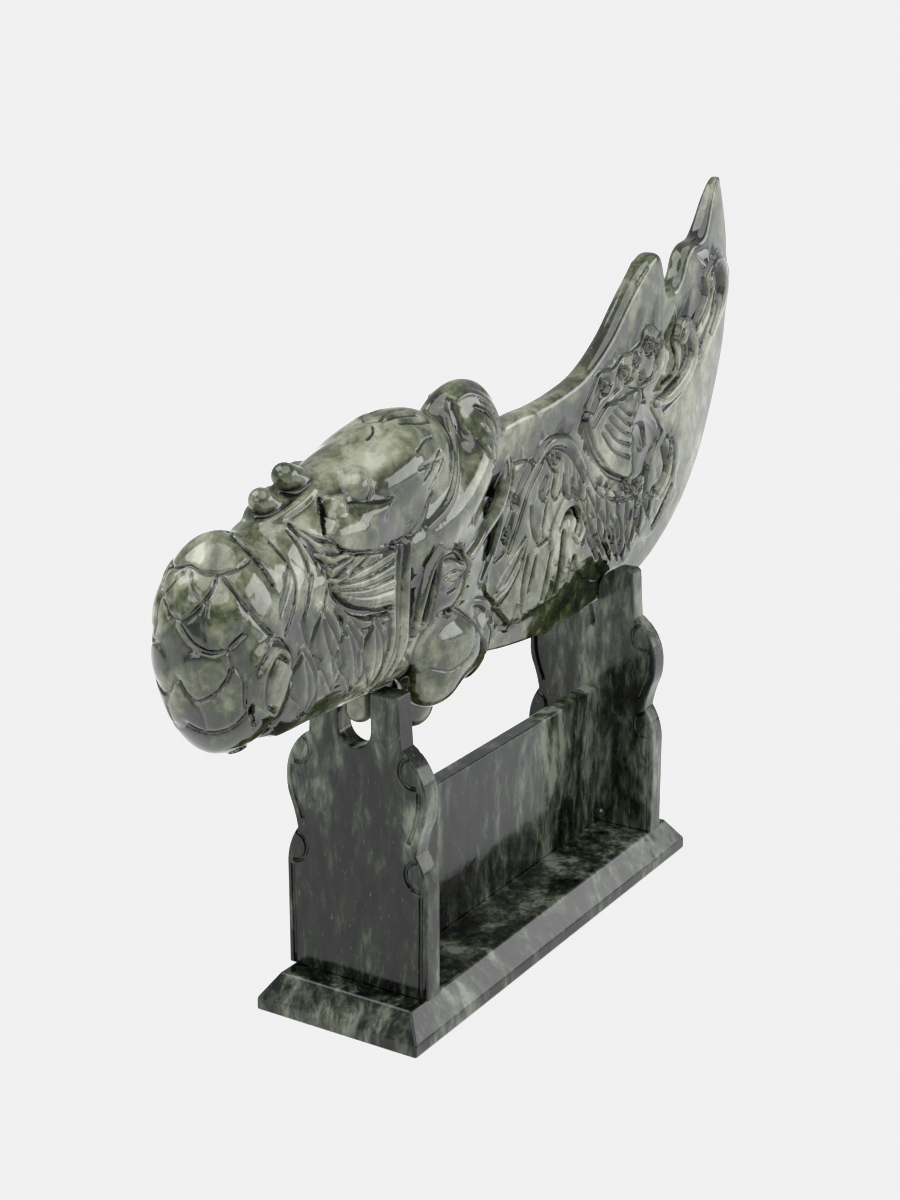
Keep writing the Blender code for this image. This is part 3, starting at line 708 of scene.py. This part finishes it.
def make_core(clay):
    """Grip and head mass: a rounded section at each station, given as x, bottom, top and half width."""
    stations = np.array([
        (-152, 131, 184, 14), (-146, 122.5, 186.5, 17), (-139, 120.2, 186.5, 17.6), (-134, 120, 185, 17.5),
        (-124, 120, 184, 17), (-110, 119.5, 186, 17.5), (-98, 119, 190, 18), (-85, 119, 194, 18.5),
        (-70, 118.7, 198, 19), (-55, 116, 198, 18.5), (-40, 112, 196, 17), (-28, 110, 193, 14.5),
        (-20, 116, 190, 8.5), (-12, 126, 186, 3), (-6, 140, 180, 1)], np.float32)
    spans, (x, y, z) = clay.window((-152, -26, 90), (-6, 1, 267))
    bottom, top, half = (np.interp(x, stations[:, 0], stations[:, i]) for i in (1, 2, 3))
    middle = (bottom + top) / 2
    tall = (top - bottom) / 2
    reach = np.sqrt(y ** 2 + (z - middle) ** 2)
    ratio = (np.abs(y) / half) ** CORE_SQUARENESS + (np.abs(z - middle) / tall) ** CORE_SQUARENESS
    clay.add(spans, reach * (1 - 1 / np.maximum(ratio ** (1 / CORE_SQUARENESS), 0.05)), 3.0)


def make_head(clay):
    """Pommel, grip and dragon's head, with their relief pressed in last."""
    clay.ball((-156, 0, 155.2), (21.8, 19, 34.6), 6)
    make_core(clay)

    # Forehead dome running into the bridge of the nose, which carries two nubs, and the eye under the brow.
    clay.ball((-63.5, 0, 189.5), (28, 16.5, 20), 3, (0, -3, 0))
    clay.tube([(-72, 0, 192), (-90, 0, 191.5), (-106, 0, 188.5), (-120, 0, 184.5), (-133, 0, 182)],
              [15, 12.4, 11.2, 10, 7.5], 7)
    clay.ball((-124, 0, 180), (17, 12.5, 10), 5)
    clay.ball((-80, -8, 190), (18, 9.5, 11), 6, (0, -12, 0))
    clay.tube([(-138, -3.6, 188.5), (-132, -6.0, 190.3), (-121, -6.6, 193.5), (-107, -3.6, 198.5)],
              [0.7, 1.3, 1.3, 0.6], 1.6)
    clay.tube([(-112, 0, 195.5), (-117, 0, 197), (-122.5, 0, 199.6)], [4.0, 4.5, 4.2], 1.6, 0.95)
    clay.tube([(-124, 0, 189.5), (-129, 0, 191), (-134.5, 0, 194.4)], [4.0, 4.5, 4.1], 1.6, 0.95)
    clay.tube([(-118, -10.8, 187.5), (-113.5, -12.3, 190), (-108, -11.8, 190.5)], [1.4, 2.8, 1.2], 2.2)
    clay.tube([(-109, -14.0, 190.4), (-102, -16.0, 188.6), (-93, -17.0, 190.2)], [1.2, 2.2, 1.0],
              1.0, cut=True)
    clay.ball((-101, -11.0, 193.0), (5.2, 4.7, 5.3), 2.2)
    clay.tube([(-109, -12.6, 188.4), (-102, -15.4, 186.0), (-95, -17.0, 185.6), (-89, -17.2, 187.4)],
              [0.8, 1.9, 1.8, 0.7], 0.9)
    clay.ball((-103, -13, 179.0), (18, 6, 8), 5.0, (0, 8, 0))

    # Mane: a broad polished band that sweeps down from the crest to the cheek, and its rolled edge.
    clay.ball((-24, 0, 190), (25.5, 9.5, 22.5), 2.5, (0, -8, 0))
    clay.tube([(-19, -1, 194), (-27, -4, 186), (-38, -7, 179), (-50, -10, 173.5), (-64, -12.5, 170.5),
               (-77, -13.8, 169)], [10, 12.5, 11.5, 9.4, 7, 4.4], 5.0)
    clay.tube([(6, -1, 184), (2, -4.5, 174), (-12, -10, 167), (-30, -14.5, 162.5), (-42, -17, 158),
               (-52, -18.2, 156)], [2.4, 2.6, 2.6, 2.4, 2.0, 1.4], 1.6)
    clay.tube([(8, -2, 174), (-2, -5, 162), (-12, -9, 156), (-24, -13.5, 151.5), (-33, -15.5, 145)],
              [1.8, 2.1, 2.2, 2.0, 1.2], 1.2)
    clay.tube([(-38, -6, 203), (-42, -11, 195), (-46, -14, 188), (-52, -16.6, 182), (-60, -18.2, 177.5),
               (-72, -19, 174)], [0.8, 1.1, 1.1, 1.0, 0.6], 1.6)

    # Jaw bulb with the small roll behind it, the beard, and the lug in the notch.
    clay.ball((-50, -10, 127), (24, 10.5, 14), 2.0, (0, 18, 0))
    clay.ball((-55, -9, 117), (15, 9.5, 10.5), 3.0)
    clay.ball((-31, -9.5, 124), (9, 7.5, 15), 1.0, (0, 24, 0))
    clay.tube([(-44, -15, 140.5), (-33, -15.5, 138.5), (-24, -13.5, 131.5), (-20, -12, 122)],
              [0.8, 1.8, 2.4, 1.2], 0.8)
    clay.ball((-24.5, -16.5, 130.5), (4.6, 4, 4.2), 0.8, cut=True)
    clay.ball((-52, 0, 104.5), (9.5, 6.5, 8.5), 1.5, (0, 25, 0))
    clay.tube([(-UPRIGHT_X, 0, 124), (-UPRIGHT_X, 0, 112)], [4.6, 4.6], 1.5)

    # Each side relief, how bold it is, its stretch of x, and how far from the middle plane it sets in.
    for carve, bold, start, end, gate_from, gate_over in (
            (carve_face, 0.8, -150, -44, 5.0, 3.0), (carve_jaw, 1.0, -90, -10, 5.0, 3.0),
            (carve_scroll, 1.0, -45, 12, 2.5, 2.0), (carve_volute, 1.0, -176, -140, 7.0, 4.0)):
        relief = Relief(clay.axes[0], clay.axes[2], bold)
        carve(relief)
        clay.press(relief, start, end, gate_from, gate_over)
    press_crown(clay)
    press_pommel(clay)


def press_crown(clay):
    """The wrinkles of the crown, pressed in from above."""
    x_axis, y_axis, z_axis = clay.axes
    crown = Relief(x_axis, y_axis)
    carve_brow(crown)
    part = span(x_axis, -92, -48)
    gate = smooth_step((z_axis - 196) / 4)
    clay.field[part] -= crown.height()[part][:, :, None] * gate[None, None, :]


def press_pommel(clay):
    """The petals of the pommel, pressed in along the direction that looks at it from outside its end."""
    along = np.arange(-32, 32, PETAL_STEP)
    up = np.arange(-46, 46, PETAL_STEP)
    petals = Relief(along, up, 0.72)
    carve_pommel(petals)
    spans, (x, y, z) = clay.window((-181, -25, 100), (-146, 1, 200))
    (turn_sin, turn_cos), (tilt_sin, tilt_cos) = PETAL_TURN, PETAL_TILT
    inward = x + 178
    a = turn_sin * inward + turn_cos * np.abs(y)
    b = tilt_cos * (z - 156) + tilt_sin * (turn_cos * inward + turn_sin * y)
    index = np.stack(np.broadcast_arrays((a - along[0]) / PETAL_STEP, (b - up[0]) / PETAL_STEP), axis=-1)
    gate = smooth_step((-140 - x) / 8)
    clay.field[spans] -= read_grid(petals.height(), index) * gate


def make_sabre():
    clay = Clay(SABRE_LOW, SABRE_HIGH, VOXEL)
    make_head(clay)
    make_blade(clay)
    return clay.mesh("carved_sabre", SABRE_TRIANGLES)


# ---------------------------------------------------------------------------------------------------
# The stand
# ---------------------------------------------------------------------------------------------------

SLAB = 8.5                          # thickness of an upright
EDGE_ROUND = 0.8                    # how far its edges are worn
ENGRAVING = 0.85                    # radius of an engraved line


def arc(start, end, bulge, steps=10):
    """Points after start up to end on a circular arc; bulge is rise over half the chord, + to the left."""
    if bulge == 0:
        return [end]
    a = Vector(start)
    b = Vector(end)
    chord = b - a
    angle = 4 * math.atan(bulge)
    radius = chord.length / (2 * math.sin(angle / 2))
    left = Vector((-chord.y, chord.x)).normalized()
    centre = (a + b) / 2 - left * radius * math.cos(angle / 2)
    points = []
    for step in range(1, steps + 1):
        turn = Matrix.Rotation(-angle * step / steps, 2)
        points.append(tuple(centre + turn @ (a - centre)))
    points[-1] = tuple(end)
    return points


def outline(start, moves):
    """Points along a run of lines and arcs, each given by its end and its bulge."""
    points = [start]
    for end, bulge in moves:
        points += arc(points[-1], end, bulge)
    return points


def curve_mesh(curve, name, rotation, location):
    """A curve's shape as a welded mesh object in metres."""
    shown = add_object(name, curve)
    shown.rotation_euler = rotation
    shown.location = Vector(location) * MM
    shown.scale = (MM, MM, MM)
    mesh = evaluated_mesh(shown)
    mesh.transform(shown.matrix_world)
    shape = bmesh.new()
    shape.from_mesh(mesh)
    bmesh.ops.remove_doubles(shape, verts=shape.verts, dist=0.005 * MM)
    bmesh.ops.recalc_face_normals(shape, faces=shape.faces)
    shape.to_mesh(mesh)
    shape.free()
    bpy.data.objects.remove(shown)
    return add_object(name, mesh)


def add_spline(curve, points, closed):
    spline = curve.splines.new("POLY")
    spline.points.add(len(points) - 1)
    for point, (x, y) in zip(spline.points, points):
        point.co = (x, y, 0, 1)
    spline.use_cyclic_u = closed


def slab_mesh(name, points, rotation, location):
    """A slab with that outline and softly worn edges."""
    curve = bpy.data.curves.new(name, "CURVE")
    curve.dimensions = "2D"
    curve.fill_mode = "BOTH"
    curve.extrude = SLAB / 2 - EDGE_ROUND
    curve.bevel_depth = EDGE_ROUND
    curve.bevel_resolution = 3
    curve.offset = -EDGE_ROUND
    add_spline(curve, points, True)
    return curve_mesh(curve, name, rotation, location)


def engraving_tool(name, paths, rotation, location, radius=ENGRAVING):
    """Thin round bars along the engraved lines, given as (points, closed)."""
    curve = bpy.data.curves.new(name, "CURVE")
    curve.dimensions = "3D"
    curve.bevel_depth = radius
    curve.bevel_resolution = 2
    curve.use_fill_caps = True
    for points, closed in paths:
        add_spline(curve, points, closed)
    return curve_mesh(curve, name, rotation, location)


def subtract(target, tool):
    cut = target.modifiers.new("cut", "BOOLEAN")
    cut.operation = "DIFFERENCE"
    cut.solver = "EXACT"
    cut.use_self = True
    cut.object = tool
    settle(target)
    bpy.data.objects.remove(tool)


def finish_slab(slab):
    slab.data.polygons.foreach_set("use_smooth", [True] * len(slab.data.polygons))
    slab.data.set_sharp_from_angle(angle=math.radians(38))
    weighted = slab.modifiers.new("weighted", "WEIGHTED_NORMAL")
    weighted.keep_sharp = True


def upright_half():
    """The right side from the foot to the top of the prong, as in the CAD."""
    return (28.6, 13.5), [
        ((28.6, 50), 0), ((24.1, 65.5), -0.17), ((27.4, 77), 0.06), ((28.3, 84), -0.08),
        ((18.6, 102), -0.27), ((17.4, 119.6), 0)]


def mirrored(half):
    """A half outline and its mirror image, without the points on the middle line twice."""
    return half + [(-x, y) for x, y in reversed(half) if abs(x) > 1e-6]


def hilt_upright_outline():
    start, moves = upright_half()
    moves += [((16.2, 120.4), -0.4), ((8, 120.4), 0), ((6.5, 118.9), -0.4), ((6.5, 106.3), 0),
              ((0, 99.8), math.tan(math.pi / 8))]
    return mirrored(outline(start, moves))


def blade_upright_outline():
    start, moves = upright_half()
    moves += [((15.4, 121.2), -0.35), ((10, 121.2), 0), ((2.4, 113.4), -0.25), ((0.9, 97), 0),
              ((0, 96.1), math.tan(math.pi / 8))]
    return mirrored(outline(start, moves))


def circle(centre, radius, start, sweep, count=20):
    points = []
    for i in range(count + 1):
        angle = math.radians(start + sweep * i / count)
        points.append((centre[0] + radius * math.cos(angle), centre[1] + radius * math.sin(angle)))
    return points


def engraved_lines():
    """Border lines and scroll circles of one face, right side then its mirror image."""
    lines = [
        circle((23.2, 95), 5.2, 95, 190),
        [(25.5, 88.5), (25.2, 82), (23.6, 75.5), (21.4, 69.5)],
        circle((25.6, 58.5), 5.4, 100, 175),
        [(26.2, 51.5), (26.2, 40), (26.0, 26), (26.0, 14)],
    ]
    paths = []
    for line in lines:
        path = [tuple(p) for p in smooth_path(line, 4)] if len(line) < 10 else line
        paths.append((path, False))
        paths.append(([(-x, z) for x, z in path], False))
    return paths


def make_upright(name, points, x, body, groove):
    """One carved slab in its body material, with the engraved lines of both faces in the groove material."""
    standing = (math.pi / 2, 0, math.pi / 2)
    upright = slab_mesh(name, points, standing, (x, 0, 0))
    upright.data.materials.append(body)
    for side in (-1, 1):
        face = (x + side * SLAB / 2, 0, 0)
        tool = engraving_tool("lines", engraved_lines(), standing, face)
        tool.data.materials.append(groove)
        subtract(upright, tool)
    return upright


def drill_pin_hole(upright, x):
    """The small hole beside the stretcher's foot."""
    shape = bmesh.new()
    turn = Matrix.Rotation(math.pi / 2, 4, "Y")
    bmesh.ops.create_cone(shape, cap_ends=True, segments=28, radius1=2 * MM, radius2=2 * MM, depth=30 * MM,
                          matrix=Matrix.Translation(Vector((x, -5.4, 17)) * MM) @ turn)
    mesh = bpy.data.meshes.new("drill")
    shape.to_mesh(mesh)
    shape.free()
    subtract(upright, add_object("drill", mesh))


def solid_from(name, corners, faces, worn):
    """A solid in mm with worn edges."""
    shape = bmesh.new()
    made = [shape.verts.new([c * MM for c in corner]) for corner in corners]
    for face in faces:
        shape.faces.new([made[i] for i in face])
    bmesh.ops.recalc_face_normals(shape, faces=shape.faces)
    bmesh.ops.bevel(shape, geom=list(shape.edges), offset=worn * MM, segments=3, profile=0.6, affect="EDGES")
    mesh = bpy.data.meshes.new(name)
    shape.to_mesh(mesh)
    shape.free()
    return add_object(name, mesh)


def make_base():
    """The base slab: an upright rim, a wide chamfer all round, and two tiny drilled rings on it."""
    corners = []
    for z, inset in ((0, 0), (4.4, 0), (13.2, 6.2)):
        x, y = 101.8 - inset, 33 - inset
        corners += [(-x, -y, z), (x, -y, z), (x, y, z), (-x, y, z)]
    faces = [(0, 1, 2, 3), (8, 9, 10, 11)]
    for level in (0, 4):
        for i in range(4):
            j = (i + 1) % 4
            faces.append((level + i, level + j, level + j + 4, level + i + 4))
    base = solid_from("worn_base", corners, faces, 0.7)
    lean = math.atan2(8.8, 6.2)
    for place, radius in (((-98.9, -2.5, 8.5), 1.3), ((-99.6, -15, 7.6), 0.7)):
        angles = [math.radians(a) for a in range(0, 360, 20)]
        ring = [(radius * math.cos(a), radius * math.sin(a)) for a in angles]
        subtract(base, engraving_tool("ring", [(ring, True)], (0, -lean, 0), place, 0.28))
    return base


def make_stretcher():
    """The panel between the uprights, 7 mm thick and half a millimetre off the middle."""
    x = UPRIGHT_X - SLAB / 2 - 0.05
    around = ((-1, -1), (1, -1), (1, 1), (-1, 1))
    corners = [(sx * x, sy * 3.5 - 0.5, z) for z in (13.25, 71.3) for sx, sy in around]
    faces = [(0, 1, 2, 3), (4, 5, 6, 7), (0, 1, 5, 4), (1, 2, 6, 5), (2, 3, 7, 6), (3, 0, 4, 7)]
    return solid_from("worn_stretcher", corners, faces, 0.8)


# ---------------------------------------------------------------------------------------------------
# Materials, light, camera
# ---------------------------------------------------------------------------------------------------


def shader_material(name):
    material = bpy.data.materials.new(name)
    material.use_nodes = True
    tree = material.node_tree
    return material, tree, tree.nodes["Principled BSDF"]


def link(tree, source, socket):
    tree.links.new(source, socket)


def node(tree, kind, **values):
    made = tree.nodes.new(kind)
    for key, value in values.items():
        if key in made.inputs:
            made.inputs[key].default_value = value
        else:
            setattr(made, key, value)
    return made


def ramp(tree, source, stops):
    made = tree.nodes.new("ShaderNodeValToRGB")
    elements = made.color_ramp.elements
    while len(elements) < len(stops):
        elements.new(0.5)
    for element, (place, colour) in zip(elements, stops):
        element.position = place
        element.color = (*colour, 1.0)
    link(tree, source, made.inputs["Fac"])
    return made


def mix_colours(tree, share, first, second):
    made = node(tree, "ShaderNodeMix", data_type="RGBA", blend_type="MIX")
    link(tree, share, made.inputs["Factor"])
    link(tree, first, made.inputs["A"])
    link(tree, second, made.inputs["B"])
    return made.outputs["Result"]


def jade(name, clouds, flecks, scale, stretch, roughness, painted_shade_colour, soft=0.0):
    """Polished serpentine: two sizes of cloud and pale flecks under a glossy skin, with painted shade
    darkening the hollows.
    """
    material, tree, shader = shader_material(name)
    coordinates = tree.nodes.new("ShaderNodeTexCoord")
    mapping = node(tree, "ShaderNodeMapping")
    mapping.inputs["Scale"].default_value = stretch
    mapping.inputs["Rotation"].default_value = (0.12, 0.1, 0.3)
    link(tree, coordinates.outputs["Object"], mapping.inputs["Vector"])
    place = mapping.outputs["Vector"]

    broad = node(tree, "ShaderNodeTexNoise", Scale=scale, Detail=5.0, Roughness=0.6, Distortion=0.9)
    fine = node(tree, "ShaderNodeTexNoise", Scale=scale * 5.5, Detail=6.0, Roughness=0.68, Distortion=0.4)
    link(tree, place, broad.inputs["Vector"])
    link(tree, place, fine.inputs["Vector"])
    both = node(tree, "ShaderNodeMix", data_type="FLOAT", blend_type="MIX")
    both.inputs["Factor"].default_value = 0.42
    link(tree, broad.outputs["Fac"], both.inputs["A"])
    link(tree, fine.outputs["Fac"], both.inputs["B"])
    body = ramp(tree, both.outputs["Result"], clouds)

    grains = node(tree, "ShaderNodeTexNoise", Scale=scale * 16, Detail=3.0, Roughness=0.6)
    link(tree, place, grains.inputs["Vector"])
    fleck_share = ramp(tree, grains.outputs["Fac"], [(0.64, (0, 0, 0)), (0.8, (0.8, 0.8, 0.8))])
    pale = ramp(tree, both.outputs["Result"], [(0.3, flecks), (0.7, tuple(1.35 * c for c in flecks))])
    flecked = mix_colours(tree, fleck_share.outputs["Color"], body.outputs["Color"], pale.outputs["Color"])

    # Painted shade: the stored hollow depth blends the colour towards a near-black green, a little lighter
    # where the fine noise is high.
    hollow_shade = node(tree, "ShaderNodeAttribute", attribute_name="hollow_shade")
    hollow = ramp(tree, hollow_shade.outputs["Fac"], [(0.1, (0, 0, 0)), (0.5, (1, 1, 1))])
    lighter = tuple(2.2 * c for c in painted_shade_colour)
    shade = ramp(tree, fine.outputs["Fac"], [(0.35, painted_shade_colour), (0.7, lighter)])
    colour = mix_colours(tree, hollow.outputs["Color"], flecked, shade.outputs["Color"])
    link(tree, colour, shader.inputs["Base Color"])

    gloss = ramp(tree, fine.outputs["Fac"], [(0.3, (roughness * 0.8,) * 3), (0.75, (roughness * 1.5,) * 3)])
    link(tree, gloss.outputs["Color"], shader.inputs["Roughness"])
    polish = node(tree, "ShaderNodeTexNoise", Scale=70.0, Detail=2.5)
    link(tree, coordinates.outputs["Object"], polish.inputs["Vector"])
    bump = node(tree, "ShaderNodeBump")
    bump.inputs["Strength"].default_value = 0.35
    bump.inputs["Distance"].default_value = 0.0008
    link(tree, polish.outputs["Fac"], bump.inputs["Height"])
    link(tree, bump.outputs["Normal"], shader.inputs["Normal"])
    shader.inputs["IOR"].default_value = 1.58
    if soft:
        shader.inputs["Subsurface Weight"].default_value = soft
        shader.inputs["Subsurface Radius"].default_value = (1.0, 1.1, 0.6)
        shader.inputs["Subsurface Scale"].default_value = 0.003
    return material


def make_materials():
    # The near-black colour after the roughness in each jade is the painted shade of its hollows; only the
    # sabre's mesh stores hollow depths, so the stand shows none.
    dark = jade("jade_dark", [(0.415, (0.0012, 0.0016, 0.001)), (0.48, (0.007, 0.009, 0.0055)),
                              (0.54, (0.034, 0.041, 0.029)), (0.61, (0.11, 0.122, 0.093))],
                (0.09, 0.10, 0.078), 45.0, (1.0, 1.0, 0.34), 0.12, (0.003, 0.004, 0.002))
    dark.node_tree.nodes["Principled BSDF"].inputs["Specular IOR Level"].default_value = 0.22
    light = jade("jade_light", [(0.42, (0.0015, 0.0025, 0.0004)), (0.484, (0.020, 0.025, 0.0065)),
                                (0.545, (0.080, 0.087, 0.049)), (0.64, (0.20, 0.205, 0.15))],
                 (0.10, 0.108, 0.062), 27.0, (0.8, 1.0, 0.7), 0.09, (0.0015, 0.0022, 0.0006), 0.05)
    stain, tree, shader = shader_material("groove_stain")
    speck = node(tree, "ShaderNodeTexNoise", Scale=900.0, Detail=2.0)
    tint = ramp(tree, speck.outputs["Fac"], [(0.4, (0.003, 0.004, 0.003)), (0.7, (0.02, 0.024, 0.018))])
    link(tree, tint.outputs["Color"], shader.inputs["Base Color"])
    shader.inputs["Roughness"].default_value = 0.45
    return dark, light, stain


def make_light():
    """A pale room under a wide soft sky light, with three soft panels that the polish picks up."""
    world = bpy.data.worlds.new("studio")
    bpy.context.scene.world = world
    world.use_nodes = True
    background = world.node_tree.nodes["Background"]
    background.inputs["Color"].default_value = (0.95, 0.97, 1.0, 1)
    background.inputs["Strength"].default_value = 0.68
    sky = bpy.data.lights.new("sky_panel", "SUN")
    sky.energy = 3.0
    sky.angle = math.radians(75)
    holder = add_object("sky_panel", sky)
    holder.rotation_euler = (math.radians(18), math.radians(-14), 0)
    panels = (("right", (1.4, -1.9, 0.6), (2.0, 0.9), 24),
              ("behind_camera", (-1.9, 0.1, 0.9), (1.2, 0.8), 9),
              ("overhead", (-0.5, 0.75, 1.25), (1.1, 0.8), 12))
    for name, place, size, power in panels:
        lamp = bpy.data.lights.new(name, "AREA")
        lamp.shape = "RECTANGLE"
        lamp.size, lamp.size_y = size
        lamp.energy = power
        holder = add_object(name, lamp)
        holder.location = place
        holder.rotation_euler = (Vector((0, 0, 0.13)) - Vector(place)).to_track_quat("-Z", "Y").to_euler()


def tone_curve():
    """A soft shoulder, so that the white ground stays just under full white."""
    view = bpy.context.scene.view_settings
    view.view_transform = "Standard"
    view.use_curve_mapping = True
    mapping = view.curve_mapping
    mapping.clip_max_x = 4.0
    mapping.extend = "HORIZONTAL"
    curve = mapping.curves[3]
    curve.points[0].location = (0, 0)
    curve.points[-1].location = (3.0, 0.93)
    for place in ((0.2, 0.2), (0.5, 0.5), (0.9, 0.84), (1.4, 0.91)):
        curve.points.new(*place)
    mapping.update()


def make_floor():
    bpy.ops.mesh.primitive_plane_add(size=80)
    floor = bpy.context.object
    floor.name = "floor"
    material, _, shader = shader_material("paper_white")
    shader.inputs["Base Color"].default_value = (0.86, 0.86, 0.865, 1)
    shader.inputs["Roughness"].default_value = 0.7
    floor.data.materials.append(material)


def make_camera():
    camera = bpy.data.cameras.new("camera")
    camera.lens = 62.6
    holder = add_object("camera", camera)
    holder.location = (-0.6207, -0.3689, 0.3514)
    holder.rotation_euler = (math.radians(72.79), 0, math.radians(-58.13))
    bpy.context.scene.camera = holder


# ---------------------------------------------------------------------------------------------------
# Build
# ---------------------------------------------------------------------------------------------------

make_camera()
make_light()
make_floor()
dark_jade, light_jade, groove_stain = make_materials()

sabre = make_sabre()
sabre.data.materials.append(light_jade)
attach(sabre, "sabre_body")
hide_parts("sabre")

for piece_name, cad_name, points, x in (
        ("carved_hilt_upright", "hilt_upright", hilt_upright_outline(), -UPRIGHT_X),
        ("carved_blade_upright", "blade_upright", blade_upright_outline(), UPRIGHT_X)):
    upright = make_upright(piece_name, points, x, dark_jade, groove_stain)
    if x > 0:
        drill_pin_hole(upright, x)
    finish_slab(upright)
    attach(upright, "stand")
    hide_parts(cad_name)

for slab, cad_name in ((make_base(), "base_plate"), (make_stretcher(), "stretcher_panel")):
    finish_slab(slab)
    slab.data.materials.append(dark_jade)
    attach(slab, "stand")
    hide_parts(cad_name)

tone_curve()
